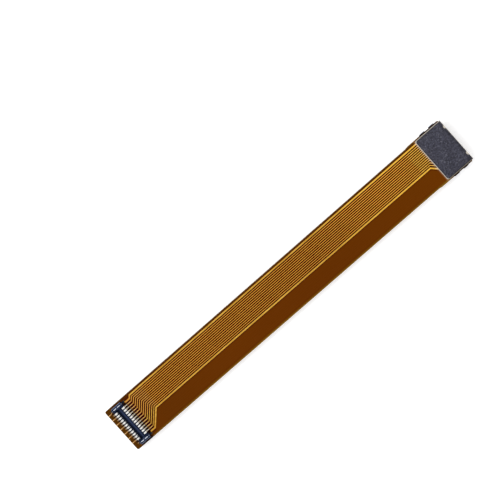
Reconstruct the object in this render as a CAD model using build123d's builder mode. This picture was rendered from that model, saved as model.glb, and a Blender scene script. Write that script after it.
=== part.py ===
from build123d import *

import math
import os

# Flat flex cable: a two-layer flexible circuit, 60 mm long, that carries 24 contacts between
# board-to-board connectors with a 0.4 mm pitch. One end has a header on the upper face, the
# other a receptacle on the lower face, and each end is backed by a stiffener on its other face.
# X runs along the cable from the header end to the receptacle end, Y across it, Z up.
# The origin is under the middle of the cable, at the receptacle's mating face. All sizes in mm.

os.makedirs("parts", exist_ok=True)

# Contact rows, which both connectors and the film's width are built on
contacts_per_row = 12
contact_pitch = 0.4
contact_sheet = 0.07

# Film
overall_length = 60.0
film_thickness = 0.12
film_edge_margin = 1.18
film_corner_radius = 0.25
receptacle_end_step = 0.08
receptacle_end_length = 5.2
width_step_length = 0.5

# Copper on the film's faces
copper_thickness = 0.02
track_width = 0.1
track_gap = 0.1674
ground_width = 0.2
bundle_margin = 0.32
pad_width = 0.2
pad_overhang = 0.1
foot_pad_margin = 0.03
plating_tail_width = 0.11
via_radius = 0.08
via_sides = 6
via_pad_reach = 0.14
header_via_setback = 1.3
receptacle_via_setback = 1.6

# Bends of the tracks, from the end of the cable that they start at
header_bend_start = 3.87
receptacle_bend_start = 4.87
receptacle_bend_slope = 0.033
receptacle_ground_bend_start = 4.35
far_bend_before_stiffener = 0.73
far_bend_step = 0.2

# Stiffener plates and the facing sheets on them
stiffener_inset = 0.075
stiffener_thickness = 0.2
stiffener_inner_radius = 0.25
stiffener_outer_radius = 0.15
stiffener_overhang = 0.2
receptacle_stiffener_length = 4.3
header_stiffener_length = 3.8
facing_thickness = 0.08
facing_border = 0.1
facing_inner_border = 0.1
facing_outer_border = 0.02
facing_inner_radius = 0.3
facing_outer_radius = 0.15
notch_radius = 0.3
notch_depth = 0.22
notch_from_last_contact = 0.05

# Header
header_setback = 1.89
header_wall = 0.34
header_groove_half_width = 0.47
header_end_length = 0.9
header_height = 0.68
header_floor = 0.2
header_lead_in = 0.06
standoff = 0.02
header_contact_width = 0.23
header_tail_width = 0.13
header_tail_length = 0.36
header_tail_rise = 0.14
header_tail_lap = 0.07
header_contact_bend = 0.05
contact_proud = 0.03
hold_down_sheet = 0.08
header_hold_down_from_end = 0.3
header_hold_down_width = 0.26
header_bridge_width = 0.1
header_neck_width = 0.06
header_neck_length = 0.2
header_hold_down_foot = 0.24

# Receptacle
receptacle_setback = 2.2
receptacle_height = 0.8
receptacle_floor = 0.25
receptacle_wall = 0.18
receptacle_end_wall = 0.36
receptacle_corner = 0.12
cavity_corner = 0.3
cavity_lead_in = 0.05
mating_clearance = 0.01
mating_end_clearance = 0.08
tongue_half_width = 0.235
tongue_past_last_contact = 0.27
tongue_below_rim = 0.06
pocket_step = 0.1
slot_clearance = 0.02
receptacle_contact_width = 0.15
receptacle_tail_length = 0.54
receptacle_arm_width = 0.19
receptacle_arm_below_rim = 0.06
spring_gap = 0.06
spring_reach = 0.14
spring_below_rim = 0.14
receptacle_contact_bend = 0.035
hold_down_cover = 0.08
hold_down_seat = 0.12
hold_down_below_rim = 0.02
receptacle_tab_length = 0.8
receptacle_leg_length = 0.16
receptacle_foot_width = 0.3
receptacle_inner_foot = 0.6
receptacle_outer_foot = 0.3

# Levels, from the receptacle's mating face up
receptacle_mount_z = receptacle_height
film_bottom_z = receptacle_mount_z + copper_thickness
film_top_z = film_bottom_z + film_thickness
header_mount_z = film_top_z + copper_thickness
facing_base_z = header_mount_z + stiffener_thickness

# Places along the cable
cable_end = overall_length / 2
film_end = cable_end - stiffener_overhang
header_x = -cable_end + header_setback
receptacle_x = cable_end - receptacle_setback
header_via_x = -cable_end + header_via_setback
receptacle_via_x = cable_end - receptacle_via_setback

# Places across the cable
first_pin_y = (contacts_per_row - 1) * contact_pitch / 2
ground_pin_y = first_pin_y + contact_pitch
film_width = 2 * (first_pin_y + film_edge_margin)
track_pitch = track_width + track_gap
ground_y = film_width / 2 - bundle_margin - ground_width / 2
first_track_y = ground_y - ground_width / 2 - track_gap - track_width / 2
last_track_y = first_track_y - (contacts_per_row - 1) * track_pitch
inner_ground_y = last_track_y - track_width / 2 - track_gap - ground_width / 2

# Header sizes that follow
header_half_width = header_groove_half_width + header_wall
header_length = 2 * (first_pin_y + header_end_length)
header_outer_face = header_half_width + contact_proud
header_tail_tip = header_outer_face + header_tail_length
header_hold_down_y = header_length / 2 - header_hold_down_from_end

# Receptacle sizes that follow
cavity_half_width = header_outer_face + mating_clearance + receptacle_arm_width
cavity_length = header_length + 2 * mating_end_clearance
receptacle_half_width = cavity_half_width + receptacle_wall
receptacle_length = cavity_length + 2 * receptacle_end_wall
tongue_length = 2 * (first_pin_y + tongue_past_last_contact)
header_groove_length = tongue_length + 2 * mating_end_clearance
receptacle_tail_tip = receptacle_half_width + receptacle_tail_length

pins = [first_pin_y - pin * contact_pitch for pin in range(contacts_per_row)]
upper_face = Plane.XY.offset(film_top_z)
# The lower face's copper is drawn in a frame turned half round Z, where it also starts at the left
lower_face = Plane(origin=(0, 0, receptacle_mount_z), x_dir=(-1, 0, 0), z_dir=(0, 0, 1))


def section_plane(x, y, z, side, up):
    """A plane along the cable through a contact: its x points outwards to that side, its y along up."""
    return Plane(origin=(x, y, z), x_dir=(side, 0, 0), z_dir=(0, -side * up, 0))


def track_points(pin_x, pin_y, bend_x, bundle_y, far_bend_x, far_y, via_x):
    """A track's centre line from its pad to its via, which changes its place across at 45 degrees."""
    points = [(pin_x, pin_y)]
    if pin_y != bundle_y:
        points += [(bend_x, pin_y), (bend_x + abs(bundle_y - pin_y), bundle_y)]
    if far_y != bundle_y:
        points += [(far_bend_x, bundle_y), (far_bend_x + abs(far_y - bundle_y), far_y)]
    return points + [(via_x + via_pad_reach, far_y)]


def draw_track(points, width):
    """A strip's outline round its centre line, mitred at the bends and square at the ends."""
    path = [Vector(*point) for point in points]
    runs = [(b - a).normalized() for a, b in zip(path, path[1:])]
    left = []
    right = []
    for point, before, after in zip(path, runs[:1] + runs, runs + runs[-1:]):
        ahead = (before + after).normalized()
        across = ahead.rotate(Axis.Z, 90) * (width / 2 / ahead.dot(before))
        left.append(point + across)
        right.append(point - across)
    Polygon(*left, *reversed(right), align=None)


def draw_sheet(points, sheet, bend):
    """A bent strip in section. Each corner of its centre line is cut off by bend on both sides."""
    path = [Vector(*point) for point in points]
    soft = path[:1]
    for before, corner, after in zip(path, path[1:], path[2:]):
        soft.append(corner + (before - corner).normalized() * bend)
        soft.append(corner + (after - corner).normalized() * bend)
    draw_track(soft + path[-1:], sheet)


def draw_strip(x0, x1, y, width):
    """A straight strip of copper along the cable, such as a pad."""
    with Locations(((x0 + x1) / 2, y)):
        Rectangle(abs(x1 - x0), width)


# Vias: the upper face's tracks end under the receptacle, the lower face's under the header
header_vias = [(header_via_x, y) for y in [ground_pin_y, *pins, -ground_pin_y]]
receptacle_vias = [(receptacle_via_x, y) for y in [ground_y, *pins, -ground_y]]

# Flexible film, one laminate of base and cover layers, a little wider at the receptacle
with BuildPart() as flex_film:
    with BuildSketch(Plane.XY.offset(film_bottom_z)):
        with BuildLine():
            step_x = film_end - receptacle_end_length
            wide_y = film_width / 2 + receptacle_end_step
            Polyline(
                (-cable_end, 0),
                (-cable_end, film_width / 2),
                (step_x - width_step_length, film_width / 2),
                (step_x, wide_y),
                (film_end, wide_y),
                (film_end, 0),
            )
            mirror(about=Plane.XZ)
        face = make_face()
        corners = face.vertices().group_by(Axis.X)[0] + face.vertices().group_by(Axis.X)[-1]
        fillet([corner for corner in corners if abs(corner.Y) > first_pin_y], film_corner_radius)
        with Locations(*header_vias, *receptacle_vias):
            RegularPolygon(via_radius, via_sides, mode=Mode.SUBTRACT)
    extrude(amount=film_thickness)
flex_film.part.label = "flex_film"
export_step(flex_film.part, "parts/flex_film.step")

# Plated vias, which join each connector's outer row to the tracks of the other face
with BuildPart() as through_vias:
    with BuildSketch(Plane.XY.offset(film_bottom_z)):
        with Locations(*header_vias, *receptacle_vias):
            RegularPolygon(via_radius, via_sides)
    extrude(amount=film_thickness)
through_vias.part.label = "through_vias"
export_step(through_vias.part, "parts/through_vias.step")

# Copper on the upper face: the header's inner row and its tracks, and the outer row's pads,
# every second one with a plating tail that was cut off with the film's edge
with BuildPart() as header_side_copper:
    with BuildSketch(upper_face):
        inner_x = header_x + header_tail_tip
        bend_x = -cable_end + header_bend_start
        far_x = cable_end - receptacle_stiffener_length - far_bend_before_stiffener
        for track, pin_y in enumerate(pins):
            bundle_y = first_track_y - track * track_pitch
            far_bend_x = far_x + (contacts_per_row - track) * far_bend_step
            points = track_points(inner_x, pin_y, bend_x, bundle_y, far_bend_x, pin_y, receptacle_via_x)
            draw_track(points, track_width)
        for pin_y, bundle_y, far_y in (
            (ground_pin_y, ground_y, ground_y),
            (-ground_pin_y, inner_ground_y, -ground_y),
        ):
            points = track_points(inner_x, pin_y, bend_x, bundle_y, far_x, far_y, receptacle_via_x)
            draw_track(points, ground_width)
        pad_start = header_outer_face - pad_overhang
        pad_end = header_tail_tip + pad_overhang
        via_side = header_via_x + via_pad_reach
        for pin_y in pins:
            draw_strip(header_x + pad_start, header_x + pad_end, pin_y, pad_width)
            draw_strip(via_side, header_x - pad_end, pin_y, pad_width)
        for pin_y in [ground_pin_y, *pins[1::2]]:
            draw_strip(header_x - pad_end, -cable_end, pin_y, plating_tail_width)
        foot_pad = header_hold_down_width + 2 * foot_pad_margin
        for pin_y in (header_hold_down_y, -header_hold_down_y):
            draw_strip(header_x + pad_start, header_x + pad_end, pin_y, foot_pad)
            draw_strip(via_side, header_x - pad_end, pin_y, foot_pad)
    extrude(amount=copper_thickness)
header_side_copper.part.label = "header_side_copper"
export_step(header_side_copper.part, "parts/header_side_copper.step")

# Copper on the lower face: the same layout from the receptacle's inner row on
with BuildPart() as receptacle_side_copper:
    with BuildSketch(lower_face):
        inner_x = -receptacle_x + receptacle_tail_tip
        bend_x = -cable_end + receptacle_bend_start
        ground_bend_x = -cable_end + receptacle_ground_bend_start
        far_x = cable_end - header_stiffener_length - far_bend_before_stiffener
        via_x = -header_via_x
        for track, pin_y in enumerate(pins):
            bundle_y = first_track_y - track * track_pitch
            near_bend_x = bend_x - track * receptacle_bend_slope
            far_bend_x = far_x + (contacts_per_row - track) * far_bend_step
            points = track_points(inner_x, pin_y, near_bend_x, bundle_y, far_bend_x, pin_y, via_x)
            draw_track(points, track_width)
        last_bend_x = far_x + (contacts_per_row + 1) * far_bend_step
        for pin_y, bundle_y, far_bend_x, far_y in (
            (ground_y, ground_y, last_bend_x, ground_pin_y),
            (-ground_y, inner_ground_y, far_x, -ground_pin_y),
        ):
            points = track_points(inner_x, pin_y, ground_bend_x, bundle_y, far_bend_x, far_y, via_x)
            draw_track(points, ground_width)
        pad_start = receptacle_half_width - pad_overhang
        pad_end = receptacle_tail_tip + pad_overhang
        via_side = -receptacle_via_x + via_pad_reach
        for pin_y in pins:
            draw_strip(-receptacle_x + pad_start, -receptacle_x + pad_end, pin_y, pad_width)
            draw_strip(via_side, -receptacle_x - pad_end, pin_y, pad_width)
        for pin_y in (pins[0], pins[-1]):
            draw_strip(-receptacle_x - pad_end, -film_end, pin_y, plating_tail_width)
        foot_pad = receptacle_foot_width + 2 * foot_pad_margin
        foot_pad_end = receptacle_half_width + receptacle_outer_foot + pad_overhang
        for pin_y in (ground_y, -ground_y):
            draw_strip(-receptacle_x + pad_start, -receptacle_x + pad_end, pin_y, foot_pad)
            draw_strip(via_side, -receptacle_x - foot_pad_end, pin_y, foot_pad)
    extrude(amount=copper_thickness)
receptacle_side_copper.part.label = "receptacle_side_copper"
export_step(receptacle_side_copper.part, "parts/receptacle_side_copper.step")


def draw_plate(start_x, end_x, inset, inner_radius, outer_radius):
    """A stiffener's outline from its outer end, start_x, to its inner end, narrower than the film."""
    width = film_width - 2 * inset
    with Locations(((start_x + end_x) / 2, 0)):
        plate = Rectangle(abs(end_x - start_x), width)
    inner_side = plate.vertices().group_by(Axis.X)[0 if end_x < start_x else -1]
    outer_side = plate.vertices().group_by(Axis.X)[-1 if end_x < start_x else 0]
    fillet(inner_side, inner_radius)
    fillet(outer_side, outer_radius)


def cut_notches(outer_x, inward):
    """Two half-round notches in a facing sheet's outer edge, in line with the last contacts."""
    y = first_pin_y + notch_from_last_contact
    x = outer_x - inward * (notch_radius - notch_depth)
    with Locations((x, y), (x, -y)):
        Circle(notch_radius, mode=Mode.SUBTRACT)


facing_inset = stiffener_inset + facing_border
receptacle_plate_end = cable_end - receptacle_stiffener_length
header_plate_end = -cable_end + header_stiffener_length

# Stiffener at the receptacle end: a glass-epoxy plate glued over the tracks, past the film's edge
with BuildPart() as receptacle_end_stiffener:
    with BuildSketch(Plane.XY.offset(header_mount_z)):
        radii = (stiffener_inner_radius, stiffener_outer_radius)
        draw_plate(cable_end, receptacle_plate_end, stiffener_inset, *radii)
    extrude(amount=stiffener_thickness)
receptacle_end_stiffener.part.label = "receptacle_end_stiffener"
export_step(receptacle_end_stiffener.part, "parts/receptacle_end_stiffener.step")

# Grained facing sheet on that plate
with BuildPart() as receptacle_end_facing:
    with BuildSketch(Plane.XY.offset(facing_base_z)):
        outer_x = cable_end - facing_outer_border
        inner_x = receptacle_plate_end + facing_inner_border
        draw_plate(outer_x, inner_x, facing_inset, facing_inner_radius, facing_outer_radius)
        cut_notches(outer_x, -1)
    extrude(amount=facing_thickness)
receptacle_end_facing.part.label = "receptacle_end_facing"
export_step(receptacle_end_facing.part, "parts/receptacle_end_facing.step")

# Stiffener at the header end, on the lower face
with BuildPart() as header_end_stiffener:
    with BuildSketch(Plane.XY.offset(receptacle_mount_z)):
        draw_plate(-cable_end, header_plate_end, stiffener_inset, *radii)
    extrude(amount=-stiffener_thickness)
header_end_stiffener.part.label = "header_end_stiffener"
export_step(header_end_stiffener.part, "parts/header_end_stiffener.step")

# Its facing sheet
with BuildPart() as header_end_facing:
    with BuildSketch(Plane.XY.offset(receptacle_mount_z - stiffener_thickness)):
        outer_x = -cable_end + facing_outer_border
        inner_x = header_plate_end - facing_inner_border
        draw_plate(outer_x, inner_x, facing_inset, facing_inner_radius, facing_outer_radius)
        cut_notches(outer_x, 1)
    extrude(amount=-facing_thickness)
header_end_facing.part.label = "header_end_facing"
export_step(header_end_facing.part, "parts/header_end_facing.step")


def draw_header_wrap():
    """The stretch of a header contact that goes over the wall, in its section."""
    outer = header_outer_face - contact_sheet / 2
    inner = header_groove_half_width - contact_proud + contact_sheet / 2
    top = header_height - contact_sheet / 2
    path = [(outer, header_tail_rise), (outer, top), (inner, top), (inner, header_floor + standoff)]
    draw_sheet(path, contact_sheet, header_contact_bend)


def draw_header_tail():
    """The stretch of a header contact from its soldered tip up to the wrap, in its section."""
    outer = header_outer_face - contact_sheet / 2
    level = contact_sheet / 2
    path = [(header_tail_tip, level), (outer, level), (outer, header_tail_rise + header_tail_lap)]
    draw_sheet(path, contact_sheet, header_contact_bend)


# Header contacts: bent strips moulded into the two walls, one for each track
number = 0
for side in (-1, 1):
    for pin_y in pins:
        number += 1
        section = section_plane(header_x, pin_y, header_mount_z, side, 1)
        with BuildPart() as header_contact:
            with BuildSketch(section):
                draw_header_wrap()
            extrude(amount=header_contact_width / 2, both=True)
            with BuildSketch(section):
                draw_header_tail()
            extrude(amount=header_tail_width / 2, both=True)
        header_contact.part.label = f"header_contact_{number:02d}"
        export_step(header_contact.part, f"parts/header_contact_{number:02d}.step")


def draw_staple_bridge():
    """A header hold-down's bridge and legs in its section."""
    outer = header_outer_face - hold_down_sheet / 2
    top = header_height - hold_down_sheet / 2
    path = [(outer, 0), (outer, top), (-outer, top), (-outer, 0)]
    draw_sheet(path, hold_down_sheet, header_contact_bend)


# Header hold-downs: staples over the two end blocks, with soldered feet
leg_height = header_height - 2 * hold_down_sheet
with BuildPart() as header_hold_downs:
    for end in (-1, 1):
        section = section_plane(header_x, end * header_hold_down_y, header_mount_z, 1, 1)
        with BuildSketch(section):
            draw_staple_bridge()
        extrude(amount=header_bridge_width / 2, both=True)
        with BuildSketch(section):
            for side in (-1, 1):
                with Locations((side * (header_outer_face - hold_down_sheet / 2), leg_height / 2)):
                    Rectangle(hold_down_sheet, leg_height)
                with Locations((side * (header_outer_face + header_hold_down_foot / 2), hold_down_sheet / 2)):
                    Rectangle(header_hold_down_foot, hold_down_sheet)
        extrude(amount=header_hold_down_width / 2, both=True)
        # The bridge is necked at its middle
        top_face = Plane(origin=(header_x, end * header_hold_down_y, header_mount_z + header_height))
        with BuildSketch(top_face):
            notch_y = (header_bridge_width + header_neck_width) / 4
            with Locations((0, notch_y), (0, -notch_y)):
                Rectangle(header_neck_length, (header_bridge_width - header_neck_width) / 2)
        extrude(amount=-hold_down_sheet, mode=Mode.SUBTRACT)
header_hold_downs.part.label = "header_hold_downs"
export_step(header_hold_downs.part, "parts/header_hold_downs.step")

# Header housing: a block with a long groove between two walls, moulded round its metal
header_top = header_height - contact_proud
with BuildPart() as header_housing:
    with BuildSketch(Plane(origin=(header_x, 0, header_mount_z + standoff))):
        Rectangle(2 * header_half_width, header_length)
    extrude(amount=header_top - standoff)
    chamfer(header_housing.faces().sort_by(Axis.Z)[-1].edges(), header_lead_in)
    with BuildSketch(Plane(origin=(header_x, 0, header_mount_z + header_top))):
        RectangleRounded(2 * header_groove_half_width, header_groove_length, header_lead_in)
    extrude(amount=-(header_top - standoff - header_floor), mode=Mode.SUBTRACT)
    for side in (-1, 1):
        for pin_y in pins:
            with BuildSketch(section_plane(header_x, pin_y, header_mount_z, side, 1)):
                draw_header_wrap()
            extrude(amount=header_contact_width / 2, both=True, mode=Mode.SUBTRACT)
            with BuildSketch(section_plane(header_x, pin_y, header_mount_z, side, 1)):
                draw_header_tail()
            extrude(amount=header_tail_width / 2, both=True, mode=Mode.SUBTRACT)
    add(header_hold_downs.part, mode=Mode.SUBTRACT)
header_housing.part.label = "header_housing"
export_step(header_housing.part, "parts/header_housing.step")

# Receptacle contacts: each strip rises at the wall, bends over and down, crosses the floor
# and ends in a spring beside the tongue, whose bump presses on the header's contact
half_sheet = contact_sheet / 2
arm_outer = cavity_half_width - half_sheet
arm_inner = cavity_half_width - receptacle_arm_width + half_sheet
arm_top = receptacle_height - receptacle_arm_below_rim - half_sheet
cross_run = receptacle_floor / 2 + half_sheet
spring_x = tongue_half_width + spring_gap + half_sheet
spring_top = receptacle_height - spring_below_rim
bump_height = spring_top - spring_reach
receptacle_contact_path = [
    (receptacle_tail_tip, half_sheet),
    (arm_outer, half_sheet),
    (arm_outer, arm_top),
    (arm_inner, arm_top),
    (arm_inner, cross_run),
    (spring_x, cross_run),
    (spring_x, bump_height - spring_reach),
    (spring_x + spring_reach, bump_height),
    (spring_x, spring_top),
]
number = 0
for side in (-1, 1):
    for pin_y in pins:
        number += 1
        with BuildPart() as receptacle_contact:
            with BuildSketch(section_plane(receptacle_x, pin_y, receptacle_mount_z, side, -1)):
                draw_sheet(receptacle_contact_path, contact_sheet, receptacle_contact_bend)
            extrude(amount=receptacle_contact_width / 2, both=True)
        receptacle_contact.part.label = f"receptacle_contact_{number:02d}"
        export_step(receptacle_contact.part, f"parts/receptacle_contact_{number:02d}.step")

# The receptacle is drawn from its mounting face down, so its extrusions run along -Z
receptacle_base = Plane(origin=(receptacle_x, 0, receptacle_mount_z), x_dir=(1, 0, 0), z_dir=(0, 0, -1))


def draw_hold_down_strip(end):
    """A receptacle hold-down's strip in plan: along the end wall and out through both corners."""
    strip_y = cavity_length / 2 + hold_down_cover + hold_down_sheet / 2
    corner_sum = cavity_half_width + cavity_length / 2 - cavity_corner
    corner_sum += (hold_down_cover + hold_down_sheet / 2) * math.sqrt(2)
    leg_x = receptacle_half_width + hold_down_sheet / 2
    path = [
        (-leg_x, end * (corner_sum - leg_x)),
        (strip_y - corner_sum, end * strip_y),
        (corner_sum - strip_y, end * strip_y),
        (leg_x, end * (corner_sum - leg_x)),
    ]
    draw_track(path, hold_down_sheet)


# Receptacle hold-downs: strips let into the housing's end walls, with a leg and a soldered foot
# where they come out through each corner
strip_depth = receptacle_height - hold_down_seat
with BuildPart() as receptacle_hold_downs:
    for end in (-1, 1):
        with BuildSketch(receptacle_base.offset(hold_down_seat)):
            draw_hold_down_strip(end)
        extrude(amount=strip_depth - hold_down_below_rim)
        leg_x = receptacle_half_width + hold_down_sheet / 2
        leg_y = ground_y - (receptacle_foot_width - receptacle_leg_length) / 2
        with BuildSketch(receptacle_base):
            with Locations((leg_x, end * leg_y), (-leg_x, end * leg_y)):
                Rectangle(hold_down_sheet, receptacle_leg_length)
        extrude(amount=receptacle_height - hold_down_below_rim)
        with BuildSketch(receptacle_base):
            draw_strip(
                -receptacle_half_width,
                -receptacle_half_width - receptacle_inner_foot,
                end * ground_y,
                receptacle_foot_width,
            )
            draw_strip(
                receptacle_half_width,
                receptacle_half_width + receptacle_outer_foot,
                end * ground_y,
                receptacle_foot_width,
            )
        extrude(amount=hold_down_sheet)
receptacle_hold_downs.part.label = "receptacle_hold_downs"
export_step(receptacle_hold_downs.part, "parts/receptacle_hold_downs.step")

# Receptacle housing: an eight-sided cavity round a tongue, with a slot for each contact
with BuildPart() as receptacle_housing:
    with BuildSketch(receptacle_base):
        outline = Rectangle(2 * receptacle_half_width, receptacle_length)
        chamfer(outline.vertices(), receptacle_corner)
    extrude(amount=receptacle_height)
    with BuildSketch(receptacle_base.offset(receptacle_floor)):
        cavity = Rectangle(2 * cavity_half_width, cavity_length)
        chamfer(cavity.vertices(), cavity_corner)
        Rectangle(2 * tongue_half_width, tongue_length, mode=Mode.SUBTRACT)
    extrude(amount=receptacle_height - receptacle_floor, mode=Mode.SUBTRACT)
    rim = receptacle_housing.faces().sort_by(Axis.Z)[0]
    chamfer(rim.inner_wires().edges(), cavity_lead_in)
    # The tongue stays below the rim
    with BuildSketch(receptacle_base.offset(receptacle_height)):
        Rectangle(2 * tongue_half_width, tongue_length)
    extrude(amount=-tongue_below_rim, mode=Mode.SUBTRACT)
    # The pockets for the header's end blocks have a raised floor
    pocket_start = tongue_length / 2 + mating_end_clearance
    pocket_length = cavity_length / 2 - pocket_start
    with BuildSketch(receptacle_base.offset(receptacle_floor)):
        with Locations(
            (0, pocket_start + pocket_length / 2),
            (0, -pocket_start - pocket_length / 2),
        ):
            Rectangle(2 * cavity_half_width, pocket_length)
    extrude(amount=pocket_step)
    # Each end wall is slotted for its hold-down, and cut away outside it at the middle
    strip_face = cavity_length / 2 + hold_down_cover + hold_down_sheet
    skin = receptacle_length / 2 - strip_face
    for end in (-1, 1):
        with BuildSketch(receptacle_base.offset(hold_down_seat)):
            draw_hold_down_strip(end)
        extrude(amount=strip_depth, mode=Mode.SUBTRACT)
        with BuildSketch(receptacle_base):
            with Locations((0, end * (strip_face + skin / 2))):
                Rectangle(receptacle_tab_length, skin)
        extrude(amount=receptacle_height, mode=Mode.SUBTRACT)
    slot_width = receptacle_contact_width + 2 * slot_clearance
    floor_start = tongue_half_width + spring_gap - slot_clearance
    tunnel_height = contact_sheet + slot_clearance
    for side in (-1, 1):
        for pin_y in pins:
            with BuildSketch(section_plane(receptacle_x, pin_y, receptacle_mount_z, side, -1)):
                with Locations(((floor_start + cavity_half_width) / 2, receptacle_floor / 2)):
                    Rectangle(cavity_half_width - floor_start, receptacle_floor)
                with Locations((cavity_half_width + receptacle_wall / 2, tunnel_height / 2)):
                    Rectangle(receptacle_wall, tunnel_height)
            extrude(amount=slot_width / 2, both=True, mode=Mode.SUBTRACT)
receptacle_housing.part.label = "receptacle_housing"
export_step(receptacle_housing.part, "parts/receptacle_housing.step")
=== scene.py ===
import math

import bmesh
import bpy
from mathutils import Matrix, Vector


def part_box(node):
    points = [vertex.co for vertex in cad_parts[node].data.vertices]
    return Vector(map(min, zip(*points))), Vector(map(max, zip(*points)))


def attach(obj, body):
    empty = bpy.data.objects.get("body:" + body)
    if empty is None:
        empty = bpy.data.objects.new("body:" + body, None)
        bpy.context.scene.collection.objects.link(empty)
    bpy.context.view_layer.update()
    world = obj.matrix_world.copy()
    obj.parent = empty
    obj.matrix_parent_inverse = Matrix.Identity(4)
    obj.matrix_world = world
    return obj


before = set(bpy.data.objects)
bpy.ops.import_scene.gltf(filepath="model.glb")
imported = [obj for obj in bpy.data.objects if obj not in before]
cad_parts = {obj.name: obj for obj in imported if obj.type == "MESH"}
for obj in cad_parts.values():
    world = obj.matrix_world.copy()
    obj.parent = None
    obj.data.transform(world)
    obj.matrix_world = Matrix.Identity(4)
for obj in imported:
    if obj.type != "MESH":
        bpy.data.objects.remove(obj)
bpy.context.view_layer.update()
MM = 0.001

# Camera
# It looks down on the cable from 13 degrees off the vertical, over the receptacle end, and is
# turned so that the cable runs from the lower left to the upper right. The angle, distance and
# lens put the film's four corners and the header's top where the photograph has them.

target = Vector((-0.154, 6.867, 0.9)) * MM
distance = 335.8 * MM
lean = math.radians(13.12)
lean_towards = math.radians(8.62)
turn = math.radians(-42.31)
away = Vector((
    math.sin(lean) * math.cos(lean_towards),
    math.sin(lean) * math.sin(lean_towards),
    math.cos(lean),
))
camera_data = bpy.data.cameras.new("camera")
camera_data.lens = 183.72
camera_data.sensor_width = 36
camera_data.clip_start = 5 * MM
camera_data.clip_end = 5
camera = bpy.data.objects.new("camera", camera_data)
bpy.context.scene.collection.objects.link(camera)
camera_up = Vector((-math.sin(turn), math.cos(turn), 0))
camera_right = camera_up.cross(away).normalized()
camera_up = away.cross(camera_right)
camera.matrix_world = Matrix.Translation(target + away * distance) @ Matrix(
    (camera_right, camera_up, away)
).transposed().to_4x4()
bpy.context.scene.camera = camera
bpy.context.scene.view_settings.view_transform = "Standard"


# Light
# The photograph's light is soft and comes from the sides, so flat glossy faces mirror a darker
# part of the room above the camera. The surroundings are brightest low down for that reason.

def node(tree, kind, **values):
    """A new shader node with the given properties and, by name, input values or links."""
    made = tree.nodes.new(kind)
    for name, value in values.items():
        if hasattr(made, name):
            setattr(made, name, value)
            continue
        # The letter i and a number stand for the input with that number.
        numbered = name[0] == "i" and name[1:].isdigit()
        socket = made.inputs[int(name[1:]) if numbered else name]
        if isinstance(value, bpy.types.NodeSocket):
            tree.links.new(value, socket)
        else:
            socket.default_value = value
    return made


def calc(tree, operation, a, b=0.0, c=0.0):
    """A math node's result. Each input is a number or a socket."""
    return node(tree, "ShaderNodeMath", operation=operation, i0=a, i1=b, i2=c).outputs[0]


def spread(tree, value, low, high, to_low=0.0, to_high=1.0):
    """Maps a value from one range to another, clamped and smooth."""
    values = dict(i0=value, i1=low, i2=high, i3=to_low, i4=to_high)
    return node(tree, "ShaderNodeMapRange", interpolation_type="SMOOTHSTEP", **values).outputs[0]


white = (1, 1, 1, 1)
room_low_down = 1.12
room_overhead = 0.3
world = bpy.data.worlds.new("studio")
bpy.context.scene.world = world
world.use_nodes = True
tree = world.node_tree
tree.nodes.clear()
direction = node(tree, "ShaderNodeTexCoord").outputs["Generated"]
height = node(tree, "ShaderNodeSeparateXYZ", Vector=direction).outputs["Z"]
brightness = spread(tree, height, 0.72, 0.93, room_low_down, room_overhead)
room = node(tree, "ShaderNodeBackground", Color=white, Strength=brightness)
backdrop = node(tree, "ShaderNodeBackground", Color=white, Strength=1.0)
seen = node(tree, "ShaderNodeLightPath").outputs["Is Camera Ray"]
both = node(tree, "ShaderNodeMixShader", i0=seen, i1=room.outputs[0], i2=backdrop.outputs[0])
node(tree, "ShaderNodeOutputWorld", Surface=both.outputs[0])

key_place = Vector((-0.25, 0.22, 0.3))
key_data = bpy.data.lights.new("key", "AREA")
key_data.shape = "DISK"
key_data.size = 0.25
key_data.energy = 0.9
key = bpy.data.objects.new("key", key_data)
bpy.context.scene.collection.objects.link(key)
key.location = key_place
key.rotation_euler = (-key_place).to_track_quat("-Z", "Y").to_euler()


# Floor
# A plain pale surface under the cable, which throws soft light up on its lower side. It glows a
# little to the camera and in reflections, so that it looks white but for the cable's faint
# shadow, and from below it is clear.

floor_half_width = 1.0
floor_glow = 0.45
floor_shape = bmesh.new()
bmesh.ops.create_grid(floor_shape, x_segments=1, y_segments=1, size=floor_half_width)
floor_mesh = bpy.data.meshes.new("floor")
floor_shape.to_mesh(floor_mesh)
floor_shape.free()
floor = bpy.data.objects.new("floor", floor_mesh)
bpy.context.scene.collection.objects.link(floor)
floor_material = bpy.data.materials.new("floor")
floor_material.use_nodes = True
tree = floor_material.node_tree
tree.nodes.clear()
path = node(tree, "ShaderNodeLightPath").outputs
direct = calc(tree, "MAXIMUM", path["Is Camera Ray"], path["Is Transmission Ray"])
direct = calc(tree, "MAXIMUM", direct, path["Is Glossy Ray"])
glow_strength = calc(tree, "MULTIPLY", direct, floor_glow)
matte = node(tree, "ShaderNodeBsdfDiffuse", Color=(0.8, 0.8, 0.8, 1))
glow = node(tree, "ShaderNodeEmission", Color=white, Strength=glow_strength)
top = node(tree, "ShaderNodeAddShader", i0=matte.outputs[0], i1=glow.outputs[0])
clear = node(tree, "ShaderNodeBsdfTransparent")
below = node(tree, "ShaderNodeNewGeometry").outputs["Backfacing"]
both = node(tree, "ShaderNodeMixShader", i0=below, i1=top.outputs[0], i2=clear.outputs[0])
node(tree, "ShaderNodeOutputMaterial", Surface=both.outputs[0])
floor_mesh.materials.append(floor_material)


# Flexible film
# A laminate of amber polyimide layers, about 0.12 mm thick in all, pressed flat and then cut
# out. Where copper lies behind it, it looks brown, and along the two edges, where there is none,
# light comes through.

def paint(r, g, b):
    """A colour given in the 0 to 255 steps of a screen, as linear values."""
    steps = [value / 255 for value in (r, g, b)]
    return (*[s / 12.92 if s <= 0.04045 else ((s + 0.055) / 1.055) ** 2.4 for s in steps], 1)


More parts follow.
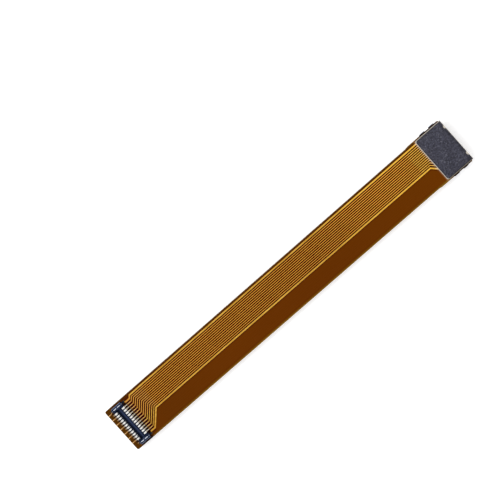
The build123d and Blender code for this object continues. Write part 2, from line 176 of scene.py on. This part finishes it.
def surface(name, **values):
    """A new material with one Principled shader, its node tree and that shader."""
    made = bpy.data.materials.new(name)
    made.use_nodes = True
    shader = made.node_tree.nodes["Principled BSDF"]
    for socket, value in values.items():
        shader.inputs[socket.replace("_", " ")].default_value = value
    return made, made.node_tree, shader


def mix(tree, share, a, b):
    """A mix of two colours, by a share from 0 to 1."""
    return node(tree, "ShaderNodeMix", data_type="RGBA", i0=share, i6=a, i7=b).outputs[2]


def times(tree, *shares):
    """The product of several shares."""
    product = shares[0]
    for share in shares[1:]:
        product = calc(tree, "MULTIPLY", product, share)
    return product


def apart(tree, value, middle=0.0):
    """How far a value is from a middle one, on either side."""
    if middle:
        value = calc(tree, "SUBTRACT", value, middle)
    return calc(tree, "ABSOLUTE", value)


def noise(tree, scale, detail=2.0, stretch=(1, 1, 1)):
    """Noise in the object's own space, with its scale in patches per metre."""
    place = node(tree, "ShaderNodeTexCoord").outputs["Object"]
    place = node(tree, "ShaderNodeMapping", Vector=place, Scale=stretch).outputs[0]
    return node(tree, "ShaderNodeTexNoise", Vector=place, Scale=scale, Detail=detail).outputs["Fac"]


def where(tree):
    """The object's own X, Y and Z at the shaded point, in metres."""
    place = node(tree, "ShaderNodeTexCoord").outputs["Object"]
    return node(tree, "ShaderNodeSeparateXYZ", Vector=place).outputs


def finish(tree, shader, colour, height, depth, roughness=None):
    """Links a colour, a bump of that depth in metres and, where it varies, the roughness."""
    tree.links.new(colour, shader.inputs["Base Color"])
    bump = node(tree, "ShaderNodeBump", Height=height, Distance=depth, Strength=1.0)
    tree.links.new(bump.outputs[0], shader.inputs["Normal"])
    if roughness is not None:
        tree.links.new(roughness, shader.inputs["Roughness"])


def dress(name, made):
    """Gives a CAD node's object a material in each of its slots."""
    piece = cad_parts[name]
    if not piece.material_slots:
        piece.data.materials.append(made)
    for slot in piece.material_slots:
        slot.material = made
    return piece


def choose(tree, share, at_one, at_zero):
    """One of two numbers, by a share that is either 1 or 0."""
    return calc(tree, "MULTIPLY_ADD", share, at_one - at_zero, at_zero)


film_low, film_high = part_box("flex_film")
film_middle_z = (film_low.z + film_high.z) / 2
header_low, header_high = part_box("header_housing")
header_x = (header_low.x + header_high.x) / 2
receptacle_low, receptacle_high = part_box("receptacle_housing")
receptacle_x = (receptacle_low.x + receptacle_high.x) / 2
header_plate_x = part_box("header_end_stiffener")[1].x
receptacle_plate_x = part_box("receptacle_end_stiffener")[0].x
track_pitch = 0.2674 * MM
track_rows = 12
first_track_y = 2.6426 * MM
last_track_y = first_track_y - (track_rows - 1) * track_pitch
ground_y = 2.96 * MM
inner_ground_y = -0.6162 * MM
resin_limit_y = -2.7 * MM
gap_resin_and_shade = paint(46, 0, 4)

film, tree, shader = surface(
    "film", Roughness=0.4, Specular_IOR_Level=0.4, Specular_Tint=paint(120, 62, 6)
)
x, y, z = where(tree)
upper = calc(tree, "GREATER_THAN", z, film_middle_z)
# The lower face is the upper one turned half round, so both are painted in one face's frame.
turned = choose(tree, upper, 1.0, -1.0)
along = calc(tree, "MULTIPLY", x, turned)
across = calc(tree, "MULTIPLY", y, turned)
off_centre = apart(tree, y)
off_halfway = apart(tree, x)
# The film is brown, and a touch lighter towards the receptacle end.
colour = mix(tree, spread(tree, x, 5 * MM, 25 * MM), paint(97, 46, 2), paint(103, 51, 2))
# The margins outside the copper are greener, and palest at the cut edge.
for start, end, tone in ((3.08, 3.18, paint(104, 66, 6)), (3.22, 3.34, paint(132, 100, 34))):
    colour = mix(tree, spread(tree, off_centre, start * MM, end * MM), colour, tone)
# Beyond the tracks, at the cable's two ends, only clear resin lies behind it, so it is greener.
ends = spread(tree, off_halfway, 27.2 * MM, 28.2 * MM)
colour = mix(tree, ends, colour, paint(106, 66, 6))
# Towards the header end, the film is a shade darker, and darkest along that end's cut edge.
colour = mix(tree, spread(tree, x, -10 * MM, -24 * MM, 0.0, 0.3), colour, paint(76, 38, 2))
colour = mix(tree, spread(tree, x, -29.2 * MM, -29.4 * MM, 0.0, 0.7), colour, paint(66, 38, 2))
# The resin that fills the gaps between the tracks is dark, and painted shade darkens them more.
# Its area ends at the inner ground track and that track's slanted run at each end, and just
# outside them a painted shadow fades out.
run_start = choose(tree, upper, -24.16 * MM, -23.33 * MM)
run_end = choose(tree, upper, 24.85 * MM, 25.55 * MM)
slant = calc(tree, "SUBTRACT", along, run_start)
slant = calc(tree, "MINIMUM", slant, calc(tree, "SUBTRACT", run_end, along))
slant = calc(tree, "MINIMUM", slant, 0.0)
limit = calc(tree, "MAXIMUM", calc(tree, "ADD", slant, inner_ground_y), resin_limit_y)
inside = calc(tree, "SUBTRACT", across, limit)
past_header = calc(tree, "GREATER_THAN", along, -27.1 * MM)
shadow_beside_ground = times(tree, past_header, spread(tree, inside, -0.36 * MM, -0.12 * MM, 0.0, 0.6))
colour = mix(tree, shadow_beside_ground, colour, gap_resin_and_shade)
outer_limit = spread(tree, along, -26.3 * MM, -26 * MM, 2.66 * MM, ground_y)
packed = times(
    tree,
    calc(tree, "GREATER_THAN", inside, 0.0),
    calc(tree, "LESS_THAN", across, outer_limit),
    past_header,
)
colour = mix(tree, packed, colour, gap_resin_and_shade)
# The other face's tracks show through very faintly.
behind = calc(tree, "MULTIPLY", across, -1.0)
phase = calc(tree, "SUBTRACT", behind, first_track_y)
phase = calc(tree, "DIVIDE", phase, track_pitch / (2 * math.pi))
lines = times(
    tree,
    spread(tree, calc(tree, "COSINE", phase), -0.2, 0.6),
    calc(tree, "GREATER_THAN", behind, last_track_y - 0.1 * MM),
    calc(tree, "LESS_THAN", behind, first_track_y + 0.1 * MM),
)
for ground in (ground_y, inner_ground_y):
    wide_line = spread(tree, apart(tree, behind, ground), 0.14 * MM, 0.09 * MM, 0.0, 1.6)
    lines = calc(tree, "MAXIMUM", lines, wide_line)
lines = times(tree, lines, spread(tree, off_halfway, 24.6 * MM, 23.4 * MM))
colour = mix(tree, times(tree, lines, 0.1), colour, paint(52, 20, 0))
# The dark connector behind each end shows through as a shade at the film's edges.
beside_connector = spread(tree, apart(tree, off_halfway, 27.95 * MM), 1.6 * MM, 1.3 * MM)
behind_connector = calc(tree, "GREATER_THAN", along, 20 * MM)
shade = times(tree, beside_connector, behind_connector, 0.85)
colour = mix(tree, shade, colour, paint(12, 12, 10))
# Between each connector's tails, from its wall to their ends, the bare film is nearly black: flux,
# and painted shade from the wall and the tails.
connector_x = choose(tree, upper, header_x, -receptacle_x)
wall = choose(tree, upper, 0.82 * MM, 1.22 * MM)
tails_end = choose(tree, upper, 1.18 * MM, 1.78 * MM)
from_connector = calc(tree, "SUBTRACT", along, connector_x)
past_tails = calc(tree, "SUBTRACT", from_connector, tails_end)
before_wall = calc(tree, "ADD", from_connector, wall)
flux_and_shade = times(
    tree,
    spread(tree, past_tails, 0.06 * MM, -0.06 * MM),
    spread(tree, before_wall, -0.56 * MM, -0.44 * MM),
    spread(tree, off_centre, 2.75 * MM, 2.55 * MM),
    0.92,
)
colour = mix(tree, flux_and_shade, colour, paint(8, 6, 8))
# Past the header's two ends too, the film's margin is darkened by flux and a painted shadow of the
# header, more on the lower side.
lower_shadow_and_flux = spread(tree, y, -3.02 * MM, -3.1 * MM, 0.0, 0.9)
upper_shadow_and_flux = spread(tree, y, 3.02 * MM, 3.1 * MM, 0.0, 0.4)
stain_and_painted_light = times(
    tree,
    calc(tree, "ADD", lower_shadow_and_flux, upper_shadow_and_flux),
    spread(tree, apart(tree, x, header_x), 1.1 * MM, 0.9 * MM),
    upper,
)
colour = mix(tree, stain_and_painted_light, colour, paint(8, 10, 10))
# Glue that has run out from under each stiffener makes a pale line before it.
plate_x = choose(tree, upper, receptacle_plate_x, -header_plate_x)
past_plate = calc(tree, "SUBTRACT", along, plate_x)
pale_band = times(
    tree,
    spread(tree, past_plate, -0.26 * MM, -0.03 * MM, 0.0, 0.5),
    spread(tree, past_plate, 0.06 * MM, 0.02 * MM),
)
colour = mix(tree, pale_band, colour, paint(178, 134, 96))
clouds = spread(tree, noise(tree, 260, 3.0, (0.25, 1, 1)), 0.3, 0.7, 0.0, 0.2)
colour = mix(tree, clouds, colour, paint(80, 34, 2))
streaks = noise(tree, 9000, 2.0, (0.06, 1, 1))
ridges = calc(tree, "ADD", streaks, calc(tree, "MULTIPLY", lines, 2.0))
finish(tree, shader, colour, ridges, 0.002 * MM, spread(tree, streaks, 0.3, 0.7, 0.34, 0.48))
flex = dress("flex_film", film)


# Copper tracks
# Etched copper under a clear amber cover layer, so it looks like old gold. Round each connector
# the cover layer has a window, where the pads and plating tails are bare, plated and paler.

def copper_material(name, window_start, plate_end, turned):
    """One face's copper, with turned as 1 on the upper face and -1 on the lower one."""
    made, tree, shader = surface(
        name,
        Metallic=0.3,
        Roughness=0.36,
        Specular_IOR_Level=0.4,
        Specular_Tint=paint(235, 180, 70),
    )
    x, y, _ = where(tree)
    off_centre = apart(tree, y)
    across = calc(tree, "MULTIPLY", y, turned)
    window_edge = math.copysign(0.05 * MM, window_start)
    bare = spread(tree, x, window_start, window_start + window_edge)
    grain = noise(tree, 5200, 3.0, (0.12, 1, 1))
    fine = spread(tree, grain, 0.3, 0.7)
    patches = spread(tree, noise(tree, 420, 2.0, (0.4, 1, 1)), 0.35, 0.7, 0.0, 0.35)
    covered = mix(tree, fine, paint(206, 152, 52), paint(232, 182, 78))
    covered = mix(tree, patches, covered, paint(186, 126, 36))
    # The narrow signal tracks are a shade redder than the two wide ground tracks.
    off_bundle = apart(tree, across, (first_track_y + last_track_y) / 2)
    inner = (track_rows / 2 - 0.1) * track_pitch
    outer = (track_rows / 2 + 0.1) * track_pitch
    signal = spread(tree, off_bundle, outer, inner)
    covered = mix(tree, times(tree, signal, 0.6), covered, paint(216, 142, 62))
    # On its straight run, each signal track has a painted highlight along its middle and painted
    # shade at its sides.
    off_track = calc(tree, "SUBTRACT", across, first_track_y)
    off_track = calc(tree, "PINGPONG", off_track, track_pitch / 2)
    run = times(tree, signal, spread(tree, apart(tree, x), 23.9 * MM, 23.6 * MM))
    covered = mix(tree, times(tree, run, 0.85), covered, paint(255, 179, 58))
    shaded_sides = times(
        tree,
        run,
        spread(tree, off_track, 0.024 * MM, 0.042 * MM),
        spread(tree, x, 4 * MM, 25 * MM, 1.0, 0.5),
    )
    covered = mix(tree, shaded_sides, covered, paint(110, 14, 0))
    # Towards the receptacle end, the cover layer is thinner and the copper looks brighter, and
    # beside the header's pads it is paler.
    bright = times(
        tree,
        spread(tree, x, 4 * MM, 25 * MM, 0.0, 0.75),
        calc(tree, "MULTIPLY_ADD", run, -0.8, 1.0),
    )
    covered = mix(tree, bright, covered, paint(255, 196, 70))
    beside_pads = times(
        tree,
        spread(tree, x, -26.2 * MM, -26.5 * MM, 0.0, 0.6),
        spread(tree, off_centre, 2.55 * MM, 2.45 * MM),
    )
    covered = mix(tree, beside_pads, covered, paint(240, 200, 134))
    # Just before the stiffener, glue that has run out and a painted glare make it paler.
    along = calc(tree, "MULTIPLY", x, turned)
    pale_band = spread(tree, along, plate_end - 0.42 * MM, plate_end, 0.0, 0.6)
    covered = mix(tree, pale_band, covered, paint(250, 226, 190))
    plated = mix(tree, fine, paint(196, 150, 106), paint(226, 190, 146))
    # The plating tails that run to the header end's cut edge are worn, least of all at the edge.
    worn = spread(tree, x, -29.3 * MM, -29.45 * MM, 0.0, 0.8)
    plated = mix(tree, worn, plated, paint(196, 138, 66))
    cut_edge = spread(tree, x, -29.6 * MM, -29.8 * MM, 0.0, 0.7)
    plated = mix(tree, cut_edge, plated, paint(236, 196, 140))
    colour = mix(tree, bare, covered, plated)
    # The pads of the header's feet are dull with flux.
    foot = times(
        tree,
        spread(tree, off_centre, 2.7 * MM, 2.74 * MM, 0.0, 0.9),
        spread(tree, x, -26.7 * MM, -26.76 * MM),
    )
    colour = mix(tree, foot, colour, paint(40, 32, 26))
    finish(tree, shader, colour, grain, 0.002 * MM, spread(tree, grain, 0.3, 0.7, 0.28, 0.44))
    return made


header_window_x = -27.0 * MM
receptacle_window_x = 25.8 * MM
dress("header_side_copper", copper_material(
    "header_side_copper", header_window_x, receptacle_plate_x, 1))
dress("receptacle_side_copper", copper_material(
    "receptacle_side_copper", receptacle_window_x, -header_plate_x, -1))


# Plated vias
# Holes drilled through the film and plated with copper, then filled and made flush. They join
# the tracks of one face to the pads of the other, and end under those pads.

vias, tree, shader = surface("via_copper", Metallic=0.8, Roughness=0.42)
mottle = spread(tree, noise(tree, 24000, 2.0), 0.3, 0.7)
colour = mix(tree, mottle, paint(196, 140, 90), paint(226, 178, 128))
tree.links.new(colour, shader.inputs["Base Color"])
dress("through_vias", vias)


# Stiffener plates
# Cream glass-epoxy sheet, 0.2 mm thick, cut with a die and glued on the film's two ends, each on
# the face away from the connector. Its edges show the weave's pale fibres.

weave_pitch = 0.22 * MM
epoxy, tree, shader = surface("glass_epoxy", Roughness=0.55, Specular_IOR_Level=0.4)
x, y, z = where(tree)
warp, weft = (
    calc(tree, "SINE", calc(tree, "MULTIPLY", place, 2 * math.pi / weave_pitch))
    for place in (x, y)
)
weave = calc(tree, "MULTIPLY", warp, weft)
fibres = noise(tree, 16000, 3.0)
colour = mix(tree, spread(tree, weave, -0.8, 0.8), paint(196, 188, 178), paint(214, 208, 196))
colour = mix(tree, spread(tree, fibres, 0.35, 0.7, 0.0, 0.4), colour, paint(176, 164, 150))
# The long margins of the upper plate are darkened with painted shade, one more than the other.
lower_margin = spread(tree, y, -3.12 * MM, -3.2 * MM, 0.0, 0.75)
upper_margin = spread(tree, y, 3.12 * MM, 3.2 * MM, 0.0, 0.3)
margin_shade = times(
    tree,
    calc(tree, "ADD", lower_margin, upper_margin),
    calc(tree, "GREATER_THAN", z, film_middle_z),
)
colour = mix(tree, margin_shade, colour, paint(96, 90, 78))
finish(tree, shader, colour, calc(tree, "ADD", weave, fibres), 0.003 * MM)
dress("receptacle_end_stiffener", epoxy)
dress("header_end_stiffener", epoxy)


# Facing sheets
# Dark grey sheets glued on the stiffeners, a little smaller than they are and with two
# half-round notches each. Their fine even grain has scattered pale specks.

slate, tree, shader = surface("grained_sheet", Roughness=0.62, Specular_IOR_Level=0.25)
x, y, _ = where(tree)
grain = noise(tree, 5200, 4.0)
place = node(tree, "ShaderNodeTexCoord").outputs["Object"]
scuffs = node(
    tree, "ShaderNodeTexNoise", Vector=place, Scale=3400, Detail=3.0, Distortion=1.8
).outputs["Fac"]
broad = noise(tree, 700, 2.0)
colour = mix(tree, spread(tree, grain, 0.3, 0.7), paint(34, 34, 44), paint(67, 67, 81))
colour = mix(tree, spread(tree, scuffs, 0.55, 0.7, 0.0, 0.65), colour, paint(112, 111, 122))
colour = mix(tree, spread(tree, broad, 0.35, 0.7, 0.0, 0.3), colour, paint(46, 44, 56))
# The cut edge and the stretch beside it are painted darker, as shade along the sheet's edges.
long_sides = spread(tree, apart(tree, y), 3.06 * MM, 3.17 * MM)
inner_x = choose(
    tree,
    calc(tree, "GREATER_THAN", x, 0.0),
    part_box("receptacle_end_facing")[0].x,
    -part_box("header_end_facing")[1].x,
)
from_inner = calc(tree, "SUBTRACT", apart(tree, x), inner_x)
inner_side = spread(tree, from_inner, 0.13 * MM, 0.03 * MM)
outer_side = spread(tree, apart(tree, x), 29.4 * MM, 29.85 * MM, 0.0, 0.6)
rim = calc(tree, "MAXIMUM", long_sides, inner_side)
rim = calc(tree, "MAXIMUM", rim, outer_side)
colour = mix(tree, times(tree, rim, 0.8), colour, paint(16, 16, 22))
finish(tree, shader, colour, calc(tree, "ADD", grain, scuffs), 0.008 * MM)
dress("receptacle_end_facing", slate)
dress("header_end_facing", slate)


# Connector housings
# Moulded glass-filled plastic, dark blue, with a faint flow of fibres along the rows. The rims
# that the mating half rubs against are a little worn, and sharp edges carry a painted highlight.

def edges(tree, radius):
    """A share that is 1 at a solid's sharp edges and 0 on its flat faces."""
    rounded = node(tree, "ShaderNodeBevel", samples=6, Radius=radius).outputs[0]
    flat = node(tree, "ShaderNodeNewGeometry").outputs["Normal"]
    agree = node(tree, "ShaderNodeVectorMath", operation="DOT_PRODUCT", i0=rounded, i1=flat)
    return spread(tree, agree.outputs["Value"], 0.98, 0.8)


groove_x = -28.08 * MM


def housing_material(name, deep, pale, worn_edge_highlight, end_y, rim_z):
    """A housing's plastic, with the places of its end faces and of its mating rim."""
    made, tree, shader = surface(
        name, Roughness=0.42, Specular_IOR_Level=0.3, Specular_Tint=paint(120, 140, 190)
    )
    flow = noise(tree, 9000, 3.0, (1, 0.25, 1))
    fine = noise(tree, 30000, 2.0)
    colour = mix(tree, spread(tree, flow, 0.3, 0.7), deep, pale)
    # Sharp edges are paler: a little wear and a painted highlight.
    worn = times(tree, edges(tree, 0.05 * MM), spread(tree, fine, 0.35, 0.6, 0.3, 0.9))
    colour = mix(tree, worn, colour, worn_edge_highlight)
    # The rim's edge at each end has a painted highlight too, and the foot of each end face is
    # painted nearly black as shade.
    x, y, z = where(tree)
    depth = apart(tree, z, rim_z)
    end_face = spread(tree, apart(tree, y), end_y - 0.08 * MM, end_y - 0.05 * MM)
    rim = times(tree, end_face, spread(tree, depth, 0.09 * MM, 0.06 * MM, 0.0, 0.7))
    colour = mix(tree, rim, colour, paint(116, 130, 158))
    foot = times(tree, end_face, spread(tree, depth, 0.4 * MM, 0.6 * MM, 0.0, 0.9))
    colour = mix(tree, foot, colour, paint(6, 7, 10))
    # Down the middle of the header's groove, its floor has a painted highlight, away from the
    # walls' shade.
    groove_highlight = spread(tree, apart(tree, x, groove_x), 0.18 * MM, 0.04 * MM, 0.0, 0.8)
    colour = mix(tree, groove_highlight, colour, paint(52, 62, 90))
    relief = calc(tree, "ADD", flow, fine)
    finish(tree, shader, colour, relief, 0.003 * MM, spread(tree, fine, 0.3, 0.7, 0.36, 0.52))
    return made


dress("header_housing", housing_material(
    "header_plastic", paint(12, 17, 32), paint(24, 31, 52), paint(44, 54, 78),
    end_y=header_high.y, rim_z=header_high.z))
dress("receptacle_housing", housing_material(
    "receptacle_plastic", paint(26, 38, 62), paint(42, 58, 88), paint(96, 112, 140),
    end_y=receptacle_high.y, rim_z=receptacle_low.z))


# Contacts and hold-downs
# Thin copper-alloy strip, plated bright and slightly frosted. Rolled along its length, it
# shows fine lines that way, and its sheared edges are a little duller.

def plated_material(name, pad_z, up, stain_and_painted_light):
    """The contacts' metal, with the height of their pads and the way that they stand up."""
    made, tree, shader = surface(name, Metallic=0.6, Roughness=0.4)
    x, _, z = where(tree)
    lines = noise(tree, 26000, 2.0, (0.15, 1, 0.15))
    blush = spread(tree, noise(tree, 2600, 2.0), 0.45, 0.75, 0.0, 0.25)
    colour = mix(tree, spread(tree, lines, 0.3, 0.7), paint(232, 232, 228), paint(255, 254, 250))
    colour = mix(tree, blush, colour, paint(240, 230, 204))
    # Near the film, the plating is stained with flux and has a painted reflection of the amber
    # round it.
    above = times(tree, calc(tree, "SUBTRACT", z, pad_z), up)
    colour = mix(tree, spread(tree, above, 0.3 * MM, 0.08 * MM), colour, stain_and_painted_light)
    # The sheared edges of the feet are dull, and so are the bends nearest the film's end.
    low = spread(tree, above, 0.3 * MM, 0.2 * MM)
    sheared = times(tree, low, edges(tree, 0.03 * MM), 0.8)
    colour = mix(tree, sheared, colour, paint(104, 92, 78))
    bends = spread(tree, x, -28.82 * MM, -28.9 * MM, 0.0, 0.7)
    colour = mix(tree, bends, colour, paint(160, 144, 126))
    finish(tree, shader, colour, lines, 0.001 * MM, spread(tree, lines, 0.3, 0.7, 0.34, 0.5))
    return made


header_pad_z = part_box("header_side_copper")[1].z
receptacle_pad_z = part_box("receptacle_side_copper")[0].z
header_metal = plated_material("header_plating", header_pad_z, 1, paint(240, 230, 210))
receptacle_metal = plated_material(
    "receptacle_plating", receptacle_pad_z, -1, paint(226, 220, 210))
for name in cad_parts:
    if "_contact_" in name:
        dress(name, header_metal if name.startswith("header") else receptacle_metal)
dress("receptacle_hold_downs", receptacle_metal)

# The header's hold-downs are painted dark as shade, and only their bridges, either side of the
# neck, and the shoulders of their legs carry painted highlights.
grey, tree, shader = surface("grey_plating", Metallic=0.6, Roughness=0.4)
x, _, z = where(tree)
lines = noise(tree, 26000, 2.0, (0.15, 1, 0.15))
reach = apart(tree, x, header_x)
colour = mix(tree, spread(tree, lines, 0.3, 0.7), paint(26, 32, 46), paint(44, 52, 70))
shoulder = times(
    tree,
    spread(tree, reach, 0.74 * MM, 0.78 * MM),
    spread(tree, z, 1.34 * MM, 1.42 * MM, 0.0, 0.85),
)
colour = mix(tree, shoulder, colour, paint(150, 164, 192))
bridge = times(
    tree,
    spread(tree, reach, 0.62 * MM, 0.56 * MM),
    spread(tree, reach, 0.07 * MM, 0.11 * MM),
    calc(tree, "GREATER_THAN", z, 1.58 * MM),
)
colour = mix(tree, bridge, colour, paint(222, 230, 244))
finish(tree, shader, colour, lines, 0.001 * MM)
dress("header_hold_downs", grey)


# Solder fillets
# Solder wets each contact's tail and each hold-down's foot, and runs down to the edges of the
# pad in a hollow curve. It is bright on the receptacle's side, and on the header's it is painted
# dark, as shade and a reflection of dark surroundings.

solder, tree, shader = surface("solder", Metallic=0.8, Roughness=0.3)
_, y, z = where(tree)
flow = noise(tree, 12000, 3.0)
# The header's solder is painted dark, as shade and a reflection of dark surroundings, darkest at
# the feet.
colour = mix(tree, spread(tree, flow, 0.3, 0.7), paint(40, 33, 26), paint(84, 72, 58))
header_side = calc(tree, "GREATER_THAN", z, film_middle_z)
feet = times(tree, header_side, spread(tree, apart(tree, y), 2.5 * MM, 2.6 * MM))
colour = mix(tree, feet, colour, paint(34, 32, 32))
receptacle_side = calc(tree, "SUBTRACT", 1.0, header_side)
colour = mix(tree, receptacle_side, colour, paint(214, 208, 196))
finish(tree, shader, colour, flow, 0.004 * MM, spread(tree, flow, 0.3, 0.7, 0.22, 0.42))

bed_height = 0.004 * MM
bed_corner = 0.04 * MM
# Each step of the hollow curve goes that far in and that far up from the bed.
curve = [(0.016 * MM, 0.008 * MM), (0.010 * MM, 0.016 * MM), (0.004 * MM, 0.026 * MM)]


def fillets(name, spots, pad_z, up):
    """Mounds of solder on their pads. Each spot is a centre, a half length and a half width."""
    shape = bmesh.new()
    for x, y, half_length, half_width in spots:
        size = Matrix.Diagonal((2 * half_length, 2 * half_width, bed_height, 1))
        place = Matrix.Translation((x, y, pad_z + up * bed_height / 2))
        verts = bmesh.ops.create_cube(shape, size=1.0, matrix=place @ size)["verts"]
        upright = dict.fromkeys(
            edge
            for vert in verts
            for edge in vert.link_edges
            if edge.calc_length() < 2 * bed_height
        )
        bevelled = bmesh.ops.bevel(
            shape, geom=list(upright), offset=bed_corner, offset_type="OFFSET", segments=3,
            profile=0.5, affect="EDGES", material=-1)
        around = {face for vert in bevelled["verts"] for face in vert.link_faces}
        crest = max(around, key=lambda face: up * face.calc_center_median().z)
        for inwards, upwards in curve:
            bmesh.ops.inset_region(
                shape, faces=[crest], thickness=inwards, depth=upwards,
                use_even_offset=True, use_boundary=True)
    for face in shape.faces:
        face.smooth = True
    made = bpy.data.meshes.new(name)
    shape.to_mesh(made)
    shape.free()
    made.materials.append(solder)
    piece = bpy.data.objects.new(name, made)
    bpy.context.scene.collection.objects.link(piece)
    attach(piece, "root")


both_sides = (-1, 1)
pin_rows = [(2.2 - 0.4 * pin) * MM for pin in range(12)]
header_feet = (-2.8 * MM, 2.8 * MM)
receptacle_feet = (-2.95 * MM, 2.95 * MM)
fillets("header_solder", [
    *[(header_x + side * 1.06 * MM, y, 0.2 * MM, 0.095 * MM)
      for side in both_sides for y in pin_rows],
    *[(header_x + side * 1.0 * MM, y, 0.15 * MM, 0.155 * MM)
      for side in both_sides for y in header_feet],
], header_pad_z, 1)
fillets("receptacle_solder", [
    *[(receptacle_x + side * 1.53 * MM, y, 0.29 * MM, 0.095 * MM)
      for side in both_sides for y in pin_rows],
    *[(receptacle_x - 1.56 * MM, y, 0.34 * MM, 0.175 * MM) for y in receptacle_feet],
    *[(receptacle_x + 1.41 * MM, y, 0.18 * MM, 0.175 * MM) for y in receptacle_feet],
], receptacle_pad_z, -1)
